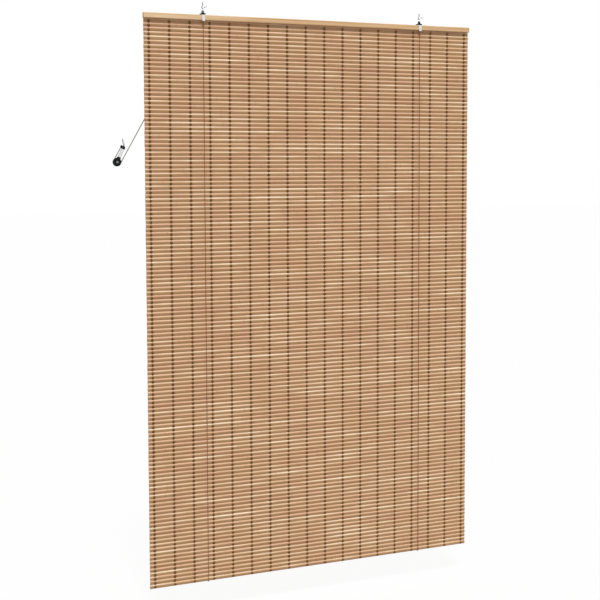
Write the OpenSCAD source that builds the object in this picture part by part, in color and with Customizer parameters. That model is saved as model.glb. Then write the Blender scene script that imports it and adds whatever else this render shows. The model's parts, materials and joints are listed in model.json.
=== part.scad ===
// Bamboo roll-up blind: a woven slat mat clamped in a wooden head rail, hung from two screw hooks
// and raised by two cords that run over pulleys to a cord tensioner at the side.
// X runs along the rail, -Y is the room side and +Z is up. The origin lies midway between the two
// hook shanks, in the plane of the ceiling. Lengths are in millimetres.

/* [Mat] */
// Width of the mat and of both rail battens
mat_w = 1400; // [1000:10:1600]
// Length of mat that shows below the head rail
mat_drop = 2176; // [1600:16:2400]
// Height of one bamboo slat, edge to edge
slat_h = 16; // [12:0.5:20]
// Thickness of a slat from its crown to its back
slat_t = 5; // [4.5:0.25:7]
// Crown of a slat's rounded front
slat_crown = 2.4; // [1.5:0.1:2.8]
// Depth of the notch between two slats on the back
slat_notch = 0.9; // [0.4:0.1:1.2]
// Distance between two weaving threads
thread_pitch = 80; // [50:5:120]
// Least distance of a weaving thread from the mat's ends
thread_margin = 20; // [10:1:35]
// Diameter of a weaving thread
thread_d = 1.6; // [1:0.1:2.2]

/* [Head rail] */
// Height of the rail
rail_h = 20; // [18:1:30]
// Thickness of the front batten
front_batten_t = 10; // [9:0.5:14]
// Thickness of the rear batten
rear_batten_t = 7; // [6.5:0.5:12]
// Rounding of the front batten's long edges
batten_round = 3; // [1:0.25:4]
// Distance between two clamping screws
clamp_pitch = 213; // [150:1:260]
// Shank diameter of a clamping screw
clamp_screw_d = 3.5; // [3:0.25:4.5]
// Length of a clamping screw
clamp_screw_l = 18; // [15:0.5:20]
// Head diameter of a clamping screw
clamp_head_d = 7; // [6:0.25:8]

/* [Hangers] */
// Distance between the two hangers
hanger_spacing = 934; // [700:2:940]
// Width of the steel saddle at the top of the rail
saddle_w = 14; // [11:0.5:20]
// Width of the saddle at its lower ends
saddle_low_w = 10; // [8:0.5:11]
// Thickness of the saddle's sheet
saddle_t = 1.5; // [1.2:0.1:2]
// Gap between the rail and the saddle's turned-in flange
flange_gap = 3; // [2.5:0.1:5]
// Length of the turned-in flange, outside to edge
flange_l = 6.5; // [6:0.1:7.5]
// Diameter of the two stiffening ribs on the saddle's face
rib_d = 1.6; // [1:0.1:2]
// Width of the hanging lug at its foot
lug_w = 17; // [14:0.5:24]
// Width of the lug's upright web at its foot
lug_web_w = 12; // [10:0.5:14]
// Width of the lug's rounded top
lug_top_w = 9.2; // [7.5:0.1:10]
// Height of the lug over the rail
lug_h = 17; // [15:0.5:22]
// Thickness of the lug's upright web
lug_t = 4; // [3:0.25:4.5]
// Thickness of the lug's foot
lug_foot_t = 4; // [2:0.25:4.5]
// Radius of the lug's eye
eye_r = 2.2; // [2:0.1:2.5]
// Wall over the lug's eye
eye_wall = 3; // [2.5:0.1:4]
// Shank diameter of a lug screw
lug_screw_d = 3; // [2.5:0.1:3.2]
// Length of a lug screw
lug_screw_l = 13; // [9:0.5:14]
// Head diameter of a lug screw
lug_head_d = 5.2; // [4.5:0.1:5.6]
// Radius of the hanging ring, to the middle of its wire
ring_r = 7.5; // [7.2:0.1:10]
// Wire diameter of the hanging ring
ring_wire_d = 2.2; // [1.6:0.1:2.4]
// Wire diameter of the screw hook
hook_wire_d = 3; // [2.4:0.1:3]
// Bend radius of the screw hook
hook_bend_r = 4.2; // [3.6:0.1:6]
// Length of the hook's straight prong
prong_l = 15; // [6:0.5:18]
// Diameter of the hook's plain shank
shank_d = 3.2; // [3.2:0.1:4]
// Length of the plain shank above the ceiling plane
shank_l = 10; // [6:0.5:25]
// Length of the shank's point
shank_tip_l = 3; // [1.5:0.5:6]

/* [Cords and pulleys] */
// Diameter of a lift cord
cord_d = 2.4; // [1.8:0.1:2.6]
// Diameter of the pull cord
pull_d = 4; // [3:0.1:4.2]
// Diameter of a rail pulley
wheel_d = 20; // [17:0.5:21]
// Thickness of a pulley's flanges
wheel_flange_t = 0.8; // [0.6:0.1:1.5]
// Depth of a pulley groove from the rim to its floor
groove_depth = 2.6; // [2.2:0.1:3]
// Distance of the pulley's axis below the top of the rail
wheel_drop = 14; // [13:0.5:15]
// Diameter of a pulley's axle
axle_d = 4; // [3.4:0.1:5]
// Diameter of an axle's head
axle_head_d = 8; // [6:0.5:10]
// Thickness of an axle's head
axle_head_t = 1.5; // [1:0.1:2.5]
// Diameter of an axle's threaded end
axle_thread_d = 2.8; // [2.2:0.1:3.2]
// Length of an axle's threaded end beyond the saddle
axle_thread_l = 5.5; // [4:0.1:6]
// Thickness of the washer under a pulley
washer_t = 0.4; // [0.3:0.1:1]
// Diameter of the bead that joins the lift cords
joiner_d = 10; // [8:0.5:14]
// Length of the bead that joins the lift cords
joiner_l = 18; // [14:0.5:24]

/* [Tensioner] */
// Distance of the tensioner's wheel to the side of the middle
tens_side = 803; // [760:1:900]
// Distance of the tensioner's wheel below the ceiling plane
tens_drop = 593; // [400:1:900]
// Turn of the tensioner's body off the line of the pull cord, in degrees
tens_turn = 4.5; // [4:0.25:4.75]
// Diameter of the tensioner's wheel
tens_wheel_d = 32; // [31:0.5:34]
// Width of the tensioner's wheel
tens_wheel_w = 8; // [7:0.5:9]
// Depth of the tensioner wheel's groove from the rim to its floor
tens_groove_depth = 4.3; // [3.8:0.1:4.5]
// Diameter of the tensioner's axle
tens_axle_d = 5; // [4:0.25:7]
// Diameter of the axle's riveted heads
tens_rivet_d = 9; // [8:0.25:11]
// Thickness of the axle's riveted heads
tens_rivet_t = 1.3; // [1:0.1:2]
// Width of the fork's two cheeks
cheek_w = 12; // [11:0.5:14]
// Thickness of the fork's strap
cheek_t = 1.8; // [1.2:0.1:2]
// Diameter of the stud that holds the body on the fork
tens_stud_d = 6; // [4:0.25:8]
// Diameter of the turned body
tens_body_d = 13; // [12:0.25:13.5]
// Length of the turned body
tens_body_l = 34; // [31:0.5:35]
// Diameter of the cap
cap_d = 14; // [13.5:0.25:14.5]
// Height of the cap
cap_h = 12; // [10:0.5:14]
// Diameter of the cap's cord clamp
clamp_d = 7; // [6:0.25:8]
// Length of the cap's cord clamp
clamp_l = 9; // [7:0.5:11]
// Diameter of the fixing screw
fix_screw_d = 6; // [5:0.1:7]
// Length of the fixing screw's plain shank
fix_screw_l = 20; // [12:0.5:30]
// Length of the fixing screw's point
fix_tip_l = 9; // [6:0.5:16]
// Lean of the fixing screw away from upright, in degrees
fix_lean = 13; // [0:0.5:20]

/* [Hidden] */
$fn = 48;

// Clearances that several pieces share
run_fit = 0.05;
hole_fit = 0.05;
rest_gap = 0.05;
side_gap = 0.1;
cord_gap = 0.3;
end_gap = 0.1;
overrun = 1;

// Colours
bamboo = "#d9b184";
pale_wood = "#e0bd90";
chrome = "#c9cdd2";
steel = "#b4b7ba";
black = "#1c1c1e";
brown_cord = "#8c6a48";
dark_thread = "#6f5436";

// Slat rows and weaving threads
slat_steps = 6;
hidden_rows = 1;
slat_rows = round(mat_drop / slat_h) + hidden_rows;
slat_bow_r = (slat_h * slat_h / 4 + slat_crown * slat_crown) / (2 * slat_crown);
thread_n = floor((mat_w - 2 * thread_margin) / thread_pitch) + 1;
thread_r = thread_d / 2;

// Heights of the hanger, from the rail up to the ceiling
ring_wire_r = ring_wire_d / 2;
hook_wire_r = hook_wire_d / 2;
neck_gap = 0.6;
neck_turn = 60;
wire_step = 0.05;
ring_rise = ring_r - sqrt(ring_r * ring_r - lug_t * lug_t / 4);
eye_top_h = lug_h - eye_wall;
ring_h = eye_top_h - rest_gap - ring_wire_r - ring_rise + ring_r;
bend_h = ring_h + ring_r - ring_wire_r - hook_wire_r - rest_gap + hook_bend_r;
neck_h = bend_h + 2 * hook_bend_r * sin(neck_turn);
rail_top = -neck_h - neck_gap;
rail_bottom = rail_top - rail_h;
mat_top = rail_bottom + hidden_rows * slat_h;
mat_bottom = mat_top - slat_rows * slat_h;
saddle_top = rail_top + saddle_t;
foot_top = saddle_top + lug_foot_t;
lug_top = rail_top + lug_h;

// Depths from the room side to the back
rail_front = -front_batten_t;
rail_back = slat_t + rear_batten_t;
saddle_front = rail_front - saddle_t;
saddle_back = rail_back + saddle_t;
flange_top = rail_bottom - flange_gap;
flange_z = flange_top - saddle_t / 2;
flange_edge = saddle_front + flange_l;
rib_share = 0.3;
rib_end = 3;
bend_gap = 0.3;

// Cord loop through the flange
cord_r = cord_d / 2;
loop_gap = 0.25;
loop_room = 0.5;
loop_strip = 1.5;
loop_r = loop_strip / 2 + cord_r + loop_gap;
loop_y = flange_edge - loop_strip / 2;
loop_hole_r = cord_r + loop_room;
loop_hole_y = flange_edge - loop_strip - loop_hole_r;
knot_core_r = 1.9;
knot_turns = 3;
knot_turn_h = 2.2;
knot_l = loop_r + cord_r + knot_turns * knot_turn_h;
knot_bottom = flange_z - knot_l;

// Pulleys behind the rail
hanger_x = hanger_spacing / 2;
wheel_z = rail_top - wheel_drop;
groove_r = cord_r + cord_gap;
wheel_w = 4 * groove_r + 3 * wheel_flange_t;
wheel_y = saddle_back + washer_t + side_gap;
near_groove = wheel_flange_t + groove_r;
far_groove = 2 * wheel_flange_t + 3 * groove_r;
near_y = wheel_y + near_groove;
far_y = wheel_y + far_groove;
path_r = wheel_d / 2 - groove_depth + groove_r;
axle_r = axle_d / 2;
washer_d_share = 1.7;
dish_share = 0.55;
dish_t = 0.5;
dish_w = 1.5;

// The straight pull from the left pulley down to the tensioner's wheel
pull_y = (near_y + far_y) / 2;
pull_r = pull_d / 2;
tens_groove_r = pull_r + cord_gap;
tens_path_r = tens_wheel_d / 2 - tens_groove_depth + tens_groove_r;
pull_side = tens_side - hanger_x;
pull_fall = tens_drop + wheel_z;
pull_span = sqrt(pull_side * pull_side + pull_fall * pull_fall);
pull_a = atan2(pull_side, pull_fall) - asin((path_r + tens_path_r) / pull_span);
pull_down = [-sin(pull_a), 0, -cos(pull_a)];
pull_out = [-cos(pull_a), 0, sin(pull_a)];
left_wheel = [-hanger_x, 0, wheel_z];
tens_wheel = [-tens_side, pull_y, -tens_drop];
joiner_way = 50;
joiner_pair = 1.5;
joiner_at = left_wheel + [0, pull_y, 0] + path_r * pull_out + joiner_way * pull_down;

// Tensioner, along its own leaning axis from the wheel's centre
tens_tilt = pull_a - tens_turn;
tens_gap = 0.5;
slot_clear = 4;
slot_l = tens_wheel_d / 2 + slot_clear;
slot_w = tens_wheel_w + 2 * tens_gap;
body_top = slot_l + tens_body_l;
body_groove = 0.8;
cap_top = body_top + cap_h;
cap_wall_share = 0.4;
dome_steps = 8;
cap_brow_share = 0.25;
return_l = body_top + overrun;
fix_seat_l = 6;
fix_seat_d = 4.5;
fix_neck_l = 2.6;
clamp_at = tens_wheel + tens_path_r * pull_out - return_l * pull_down;
screw_at = tens_wheel + cap_top * [sin(tens_tilt), 0, cos(tens_tilt)];

// Cord routes. A route is a list of points, with round stretches worked out as arcs
front_lean = 3;
wrap_r = 4.9;
wrap_z = mat_bottom + 2.5;
wrap_y = slat_t / 2;
cord_sides = 8;
cord_across = [0.3, 0.9, 0.2];
arc_step = 15;

function flat_arc(centre, y, r, from, to) =
    let (n = ceil(abs(to - from) / arc_step))
    [for (i = [0:n]) let (a = from + (to - from) * i / n)
        [centre.x + r * cos(a), y, centre.z + r * sin(a)]];

function under_mat(x) =
    [for (a = [0:arc_step:180]) [x, wrap_y - wrap_r * cos(a), wrap_z - wrap_r * sin(a)]];

function front_and_back(x) = concat(
    [[x, loop_y, knot_bottom - end_gap]],
    under_mat(x + front_lean)
);

function joiner_end(y) = joiner_at - (joiner_l / 2 + end_gap) * pull_down + [0, y, 0];

left_route = concat(
    front_and_back(-hanger_x),
    flat_arc(left_wheel, far_y, path_r, 0, 180 - pull_a),
    [joiner_end(joiner_pair)]
);

right_route = concat(
    front_and_back(hanger_x),
    flat_arc([hanger_x, 0, wheel_z], near_y, path_r, 0, 90),
    flat_arc(left_wheel, near_y, path_r, 90, 180 - pull_a),
    [joiner_end(-joiner_pair)]
);

pull_route = concat(
    [joiner_at + (joiner_l / 2 + end_gap) * pull_down],
    flat_arc(tens_wheel, pull_y, tens_path_r, -pull_a, -180 - pull_a),
    [clamp_at + end_gap * pull_down]
);

// A tube of cord along a route, with a frame carried from ring to ring so that it never twists
function unit(v) = v / norm(v);
function heading(p, i) = unit(p[min(i + 1, len(p) - 1)] - p[max(i - 1, 0)]);
function square_to(n, t) = unit(n - (n * t) * t);
function carried(p, n) =
    [for (i = 0, m = square_to(n, heading(p, 0)); i < len(p);
        i = i + 1, m = square_to(m, heading(p, min(i, len(p) - 1)))) m];

module cord(route, r) {
    across = carried(route, cord_across);
    last = len(route) - 1;
    points = [for (i = [0:last], k = [0:cord_sides - 1])
        let (a = 360 * k / cord_sides, t = heading(route, i))
        route[i] + r * cos(a) * across[i] + r * sin(a) * cross(t, across[i])];
    sides = [for (i = [0:last - 1], k = [0:cord_sides - 1])
        let (j = (k + 1) % cord_sides, low = i * cord_sides, high = low + cord_sides)
        [low + k, high + k, high + j, low + j]];
    start = [[for (k = [0:cord_sides - 1]) k]];
    end = [[for (k = [cord_sides - 1:-1:0]) last * cord_sides + k]];
    polyhedron(points, concat(start, sides, end));
}

// Extrudes a side view, given as depth and height, along the rail
module along_rail(l) {
    rotate([90, 0, 90])
        linear_extrude(l, center = true)
            children();
}

// Extrudes a front view, given as width and height, from front to back
module front_to_back(t) {
    rotate([90, 0, 0])
        linear_extrude(t, center = true)
            children();
}

// A round hole or shaft from depth y0 to depth y1
module drilled(x, z, y0, y1, d) {
    translate([x, y0, z])
        rotate([-90, 0, 0])
            cylinder(h = y1 - y0, d = d);
}

// A countersunk screw along -Z, with its head flush at the origin
module screw(d, l, head_d, grow = 0) {
    cone_h = (head_d - d) / 2;
    tip_h = d;
    translate([0, 0, -cone_h])
        cylinder(h = cone_h, d1 = d + 2 * grow, d2 = head_d + 2 * grow);
    translate([0, 0, tip_h - l])
        cylinder(h = l - tip_h - cone_h / 2, d = d + 2 * grow);
    translate([0, 0, -l])
        cylinder(h = tip_h, d1 = grow, d2 = d + 2 * grow);
}

// A side view with its two front corners rounded
module front_rounded(y0, y1, z0, z1, r) {
    translate([y0 + r, z0])
        square([y1 - y0 - r, z1 - z0]);
    translate([y0, z0 + r])
        square([r + r, z1 - z0 - r - r]);
    for (z = [z0 + r, z1 - r])
        translate([y0 + r, z])
            circle(r);
}

// How far back the crowned face of a slat lies, from its middle (0) to its edge (1)
function crown_depth(share) =
    slat_bow_r - sqrt(slat_bow_r * slat_bow_r - pow(share * slat_h / 2, 2));

clamp_n = 2 * floor((mat_w / 2 - clamp_head_d) / clamp_pitch) + 1;
clamp_z = rail_bottom + slat_h / 2;
clamp_xs = [for (i = [0:clamp_n - 1]) (i - (clamp_n - 1) / 2) * clamp_pitch];

module clamp_screw(x, grow = 0) {
    translate([x, rail_back, clamp_z])
        rotate([-90, 0, 0])
            screw(clamp_screw_d, clamp_screw_l, clamp_head_d, grow);
}

module clamp_holes() {
    for (x = clamp_xs)
        clamp_screw(x, hole_fit);
}

// The mat: slats laid edge to edge, crowned towards the room and notched at the back
module slat_mat() {
    front = [for (i = [0:slat_rows - 1], k = [0:slat_steps - 1])
        [crown_depth(2 * k / slat_steps - 1), mat_top - (i + k / slat_steps) * slat_h]];
    foot = [[slat_crown, mat_bottom]];
    back = [for (i = [slat_rows:-1:1]) let (z = mat_top - i * slat_h)
        each [[slat_t - slat_notch, z], [slat_t, z + slat_notch], [slat_t, z + slat_h - slat_notch]]];
    head = [[slat_t - slat_notch, mat_top]];
    color(bamboo)
        difference() {
            along_rail(mat_w)
                polygon(concat(front, foot, back, head));
            clamp_holes();
        }
}

// Each weaving thread runs down the front of the mat, under it and up the back
module warp_threads() {
    front_y = -thread_r - rest_gap;
    back_y = slat_t + thread_r + rest_gap;
    low = mat_bottom - thread_r - rest_gap;
    color(dark_thread)
        for (i = [0:thread_n - 1])
            translate([(i - (thread_n - 1) / 2) * thread_pitch, 0, low]) {
                for (y = [front_y, back_y])
                    translate([0, y, 0]) {
                        cylinder(h = rail_bottom - rest_gap - low, d = thread_d);
                        sphere(d = thread_d);
                    }
                drilled(0, 0, front_y, back_y, thread_d);
            }
}

module lug_screw_pair(x, grow = 0) {
    for (y = [rail_front / 2, slat_t + rear_batten_t / 2])
        translate([x, y, foot_top])
            screw(lug_screw_d, lug_screw_l, lug_head_d, grow);
}

module front_batten() {
    color(pale_wood)
        difference() {
            along_rail(mat_w)
                front_rounded(rail_front, 0, rail_bottom, rail_top, batten_round);
            clamp_holes();
            for (x = [-hanger_x, hanger_x])
                lug_screw_pair(x, hole_fit);
        }
}

module rear_batten() {
    color(pale_wood)
        difference() {
            along_rail(mat_w)
                translate([slat_t, rail_bottom])
                    square([rear_batten_t, rail_h]);
            clamp_holes();
            for (x = [-hanger_x, hanger_x]) {
                lug_screw_pair(x, hole_fit);
                drilled(x, wheel_z, rail_back - axle_thread_l, rail_back + overrun,
                    axle_thread_d + 2 * hole_fit);
            }
        }
}

module clamp_screws() {
    color(steel)
        for (x = clamp_xs)
            clamp_screw(x);
}

// A bent strap over the rail, narrower at its lower ends: ribbed face in front, flange with the
// cord's hole below it, leg behind
module saddle(x) {
    saddle_low = flange_top - saddle_t - overrun;
    color(chrome)
        difference() {
            translate([x, 0, 0]) {
                along_rail(saddle_w)
                    difference() {
                        front_rounded(saddle_front, saddle_back, flange_top - saddle_t, saddle_top,
                            batten_round + saddle_t);
                        front_rounded(rail_front, rail_back, flange_top, rail_top, batten_round - bend_gap);
                        translate([flange_edge, saddle_low])
                            square([rail_back - flange_edge, saddle_t + 2 * overrun]);
                    }
                for (side = [-1, 1])
                    translate([side * rib_share * saddle_w, saddle_front, rail_bottom + rib_end])
                        cylinder(h = rail_h - 2 * rib_end, d = rib_d);
            }
            translate([x, 0, 0])
                for (side = [-1, 1])
                    front_to_back(2 * (saddle_back - saddle_front))
                        polygon([[side * saddle_w / 2, rail_top], [side * saddle_low_w / 2, saddle_low],
                            [side * saddle_w, saddle_low], [side * saddle_w, rail_top]]);
            translate([x, loop_hole_y, saddle_low])
                cylinder(h = saddle_t + 2 * overrun, r = loop_hole_r);
            lug_screw_pair(x, hole_fit);
            drilled(x, wheel_z, rail_back - overrun, saddle_back + overrun,
                axle_thread_d + 2 * hole_fit);
        }
}

// The lug: a foot screwed down through the saddle and an upright web with the ring's eye
module lug(x) {
    top_r = lug_top_w / 2;
    web_r = lug_web_w / 2;
    color(black)
        difference() {
            translate([x, 0, 0]) {
                translate([-lug_w / 2, rail_front, saddle_top])
                    cube([lug_w, rail_back - rail_front, lug_foot_t]);
                front_to_back(lug_t) {
                    polygon([[-web_r, saddle_top], [web_r, saddle_top],
                        [top_r, lug_top - top_r], [-top_r, lug_top - top_r]]);
                    translate([0, lug_top - top_r])
                        circle(top_r);
                }
            }
            drilled(x, rail_top + eye_top_h - eye_r, -lug_t, lug_t, 2 * eye_r);
            lug_screw_pair(x, hole_fit);
        }
}

module lug_screws(x) {
    color(steel)
        lug_screw_pair(x);
}

// A closed ring through the lug's eye, seen edge-on from the room
module hanging_ring(x) {
    color(chrome)
        translate([x, 0, rail_top + ring_h])
            rotate([0, 90, 0])
                rotate_extrude()
                    translate([ring_r, 0])
                        circle(ring_wire_r);
}

// Part of a bent wire in the plane of the rail, from one angle to another
module wire_bend(from, to, r) {
    rotate([90, 0, 0])
        rotate([0, 0, from])
            rotate_extrude(angle = to - from)
                translate([hook_bend_r, 0])
                    circle(r);
}

// A screw hook: pointed shank, neck, open bend under the ring's top and a straight prong.
// The wire is drawn a little thinner from the shank to the prong
module screw_hook(x) {
    leave_a = -neck_turn;
    prong_r = hook_wire_r - wire_step;
    prong_tip = [for (a = [0:arc_step:90]) [prong_r * cos(a), prong_l + prong_r * sin(a)]];
    color(steel)
        translate([x, 0, rail_top + bend_h]) {
            wire_bend(180 - neck_turn, 360 + leave_a, hook_wire_r);
            translate([hook_bend_r * cos(leave_a), 0, hook_bend_r * sin(leave_a)])
                rotate([0, neck_turn, 0])
                    rotate_extrude()
                        polygon(concat([[0, 0], [prong_r, 0]], prong_tip));
            translate([-hook_bend_r, 0, neck_h - bend_h])
                wire_bend(-neck_turn, 0, hook_wire_r + wire_step);
            translate([0, 0, neck_h - bend_h]) {
                cylinder(h = neck_gap + shank_l, d = shank_d);
                translate([0, 0, neck_gap + shank_l])
                    cylinder(h = shank_tip_l, d1 = shank_d, d2 = 0);
            }
        }
}

// A grooved wheel about Y, standing on the depth y = 0
module grooved_wheel(d, w, bore_d, cord_path_r, r, grooves) {
    rotate([-90, 0, 0])
        rotate_extrude()
            difference() {
                translate([bore_d / 2, 0])
                    square([(d - bore_d) / 2, w]);
                for (g = grooves) {
                    translate([cord_path_r, g])
                        circle(r);
                    translate([cord_path_r, g - r])
                        square([d / 2, 2 * r]);
                }
                for (y = [0, w])
                    translate([dish_share * d / 2, y - dish_t])
                        square([dish_w, 2 * dish_t]);
            }
}

module pulley(x) {
    color(black)
        translate([x, wheel_y, wheel_z])
            grooved_wheel(wheel_d, wheel_w, axle_d + 2 * run_fit, path_r, groove_r,
                [near_groove, far_groove]);
}

// A shouldered screw that carries the pulley behind the saddle's rear leg
module pulley_axle(x) {
    head_y = wheel_y + wheel_w + side_gap;
    color(steel) {
        drilled(x, wheel_z, rail_back - axle_thread_l, saddle_back, axle_thread_d);
        drilled(x, wheel_z, saddle_back, head_y, axle_d);
        drilled(x, wheel_z, head_y, head_y + axle_head_t, axle_head_d);
    }
}

module pulley_washer(x) {
    color(steel)
        difference() {
            drilled(x, wheel_z, saddle_back, saddle_back + washer_t, washer_d_share * axle_d);
            drilled(x, wheel_z, saddle_back - overrun, saddle_back + overrun + washer_t,
                axle_d + 2 * run_fit);
        }
}

// The lift cord's loop through the flange and the wrapped knot that closes it
module cord_knot(x) {
    color(brown_cord)
        translate([x, loop_y, flange_z]) {
            rotate([0, 90, 0])
                rotate_extrude()
                    translate([loop_r, 0])
                        circle(cord_r);
            translate([0, 0, -knot_l])
                cylinder(h = knot_l - loop_r, r = knot_core_r);
            for (i = [1:knot_turns])
                translate([0, 0, -knot_l + (i - 1 / 2) * knot_turn_h])
                    rotate_extrude()
                        translate([knot_core_r, 0])
                            circle(cord_r);
        }
}

module lift_cord(route) {
    color(brown_cord)
        cord(route, cord_r);
}

// A turned bead where the two lift cords become one pull cord
module cord_joiner() {
    end_d_share = 0.68;
    waist_share = 0.45;
    r = joiner_d / 2;
    half = joiner_l / 2;
    color(pale_wood)
        translate(joiner_at)
            rotate([0, pull_a, 0])
                rotate_extrude()
                    polygon([[0, -half], [end_d_share * r, -half], [r, -waist_share * half],
                        [r, waist_share * half], [end_d_share * r, half], [0, half]]);
}

module pull_cord() {
    color(brown_cord)
        cord(pull_route, pull_r);
}

module on_tensioner() {
    translate(tens_wheel)
        rotate([0, tens_tilt, 0])
            children();
}

// A strap bent to a fork: two cheeks that take the wheel between them, and a bridge for the body
module tensioner_fork() {
    half = slot_w / 2 + cheek_t;
    color(black)
        on_tensioner()
            difference() {
                union() {
                    for (side = [-1, 1])
                        translate([0, side * (slot_w + cheek_t) / 2, 0])
                            front_to_back(cheek_t) {
                                circle(d = cheek_w);
                                translate([-cheek_w / 2, 0])
                                    square([cheek_w, slot_l]);
                            }
                    translate([-cheek_w / 2, -half, slot_l - cheek_t])
                        cube([cheek_w, 2 * half, cheek_t]);
                }
                drilled(0, 0, -slot_w - cheek_t, slot_w + cheek_t, tens_axle_d + 2 * hole_fit);
                translate([0, 0, slot_l - cheek_t - overrun])
                    cylinder(h = cheek_t + 2 * overrun, d = tens_stud_d + 2 * hole_fit);
            }
}

// Turned body with a waist, and the stud below it that is riveted into the fork
module tensioner_body() {
    r = tens_body_d / 2;
    shoulder = 2 * body_groove;
    color(chrome)
        on_tensioner()
            translate([0, 0, slot_l])
                rotate_extrude()
                    polygon([[0, -cheek_t], [tens_stud_d / 2, -cheek_t], [tens_stud_d / 2, 0],
                        [r - body_groove, 0], [r, body_groove],
                        [r, tens_body_l / 2 - shoulder],
                        [r - body_groove, tens_body_l / 2 - body_groove],
                        [r - body_groove, tens_body_l / 2 + body_groove],
                        [r, tens_body_l / 2 + shoulder],
                        [r, tens_body_l - body_groove],
                        [r - body_groove, tens_body_l], [0, tens_body_l]]);
}

module tensioner_wheel() {
    color(black)
        translate(tens_wheel - [0, tens_wheel_w / 2, 0])
            grooved_wheel(tens_wheel_d, tens_wheel_w, tens_axle_d + 2 * run_fit, tens_path_r,
                tens_groove_r, [tens_wheel_w / 2]);
}

module tensioner_axle() {
    half = slot_w / 2 + cheek_t;
    color(chrome)
        translate(tens_wheel) {
            drilled(0, 0, -half, half, tens_axle_d);
            drilled(0, 0, half, half + tens_rivet_t, tens_rivet_d);
            drilled(0, 0, -half - tens_rivet_t, -half, tens_rivet_d);
        }
}

// The fixing screw's place, with its seat in the cap below it
module at_fixing() {
    translate(screw_at)
        rotate([0, -fix_lean, 0])
            children();
}

// Domed cap with the clamp that holds the end of the pull cord
module tensioner_cap() {
    r = cap_d / 2;
    wall_h = cap_wall_share * cap_h;
    dome = [for (i = [0:dome_steps]) let (a = 90 * i / dome_steps)
        [r * (cap_brow_share + (1 - cap_brow_share) * cos(a)), wall_h + (cap_h - wall_h) * sin(a)]];
    color(black)
        difference() {
            union() {
                on_tensioner()
                    translate([0, 0, body_top])
                        rotate_extrude()
                            polygon(concat([[0, 0], [r, 0]], dome, [[0, cap_h]]));
                translate(clamp_at)
                    rotate([0, pull_a, 0])
                        cylinder(h = clamp_l, d = clamp_d);
            }
            at_fixing()
                translate([0, 0, -fix_seat_l])
                    cylinder(h = fix_seat_l + fix_neck_l, d = fix_seat_d + 2 * hole_fit);
        }
}

module tensioner_screw() {
    color(steel)
        at_fixing() {
            translate([0, 0, -fix_seat_l])
                cylinder(h = fix_seat_l + fix_neck_l, d = fix_seat_d);
            translate([0, 0, fix_neck_l])
                cylinder(h = fix_screw_l, d = fix_screw_d);
            translate([0, 0, fix_neck_l + fix_screw_l])
                cylinder(h = fix_tip_l, d1 = fix_screw_d, d2 = 0);
        }
}

slat_mat();
warp_threads();
front_batten();
rear_batten();
clamp_screws();
saddle(-hanger_x);  // saddle_left
saddle(hanger_x);  // saddle_right
lug(-hanger_x);  // lug_left
lug(hanger_x);  // lug_right
lug_screws(-hanger_x);  // lug_screws_left
lug_screws(hanger_x);  // lug_screws_right
hanging_ring(-hanger_x);  // hanging_ring_left
hanging_ring(hanger_x);  // hanging_ring_right
screw_hook(-hanger_x);  // screw_hook_left
screw_hook(hanger_x);  // screw_hook_right
pulley(-hanger_x);  // pulley_left
pulley(hanger_x);  // pulley_right
pulley_axle(-hanger_x);  // pulley_axle_left
pulley_axle(hanger_x);  // pulley_axle_right
pulley_washer(-hanger_x);  // pulley_washer_left
pulley_washer(hanger_x);  // pulley_washer_right
cord_knot(-hanger_x);  // cord_knot_left
cord_knot(hanger_x);  // cord_knot_right
lift_cord(left_route);  // lift_cord_left
lift_cord(right_route);  // lift_cord_right
cord_joiner();
pull_cord();
tensioner_fork();
tensioner_body();
tensioner_wheel();
tensioner_axle();
tensioner_cap();
tensioner_screw();
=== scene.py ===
import json
import math
import random

import bpy
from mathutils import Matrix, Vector
from mathutils.geometry import tessellate_polygon


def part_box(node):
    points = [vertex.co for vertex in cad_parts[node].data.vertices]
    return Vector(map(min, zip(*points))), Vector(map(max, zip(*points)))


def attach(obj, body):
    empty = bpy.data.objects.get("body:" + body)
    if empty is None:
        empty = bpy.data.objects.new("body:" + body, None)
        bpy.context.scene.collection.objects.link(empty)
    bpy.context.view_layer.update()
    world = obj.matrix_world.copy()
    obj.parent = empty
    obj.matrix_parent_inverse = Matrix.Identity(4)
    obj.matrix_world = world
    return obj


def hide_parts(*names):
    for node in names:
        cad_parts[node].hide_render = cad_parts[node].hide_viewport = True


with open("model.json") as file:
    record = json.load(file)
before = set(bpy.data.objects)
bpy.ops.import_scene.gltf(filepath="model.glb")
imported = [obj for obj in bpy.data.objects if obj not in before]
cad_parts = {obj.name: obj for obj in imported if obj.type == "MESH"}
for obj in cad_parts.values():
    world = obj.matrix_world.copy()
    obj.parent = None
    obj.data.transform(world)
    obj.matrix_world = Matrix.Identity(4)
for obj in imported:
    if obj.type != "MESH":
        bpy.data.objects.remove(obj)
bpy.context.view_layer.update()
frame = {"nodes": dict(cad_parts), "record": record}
NODES = frame["nodes"]
MM = 0.001
ROOT = "blind"
Y = Vector((0, 1, 0))
Z = Vector((0, 0, 1))

# Sizes of the mat and its threads
mat_lo, mat_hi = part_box("slat_mat")
rail_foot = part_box("front_batten")[0].z
thread_lo, thread_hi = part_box("warp_threads")
SLAT_H = 16 * MM
ROWS = round((mat_hi.z - mat_lo.z) / SLAT_H)
SLAT_T = mat_hi.y
CROWN = 2.4 * MM
NOTCH = 0.9 * MM
THREAD_PITCH = 80 * MM
THREADS = round((thread_hi.x - thread_lo.x) / THREAD_PITCH) + 1

# Sizes of the cords and their wheels
CORD_R = 1.2 * MM
PULL_R = 2 * MM
GROOVE_R = 1.5 * MM
GROOVE_DEPTH = 2.6 * MM
TENS_GROOVE_R = 2.3 * MM
TENS_GROOVE_DEPTH = 4.3 * MM
FLANGE_T = 0.8 * MM

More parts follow.
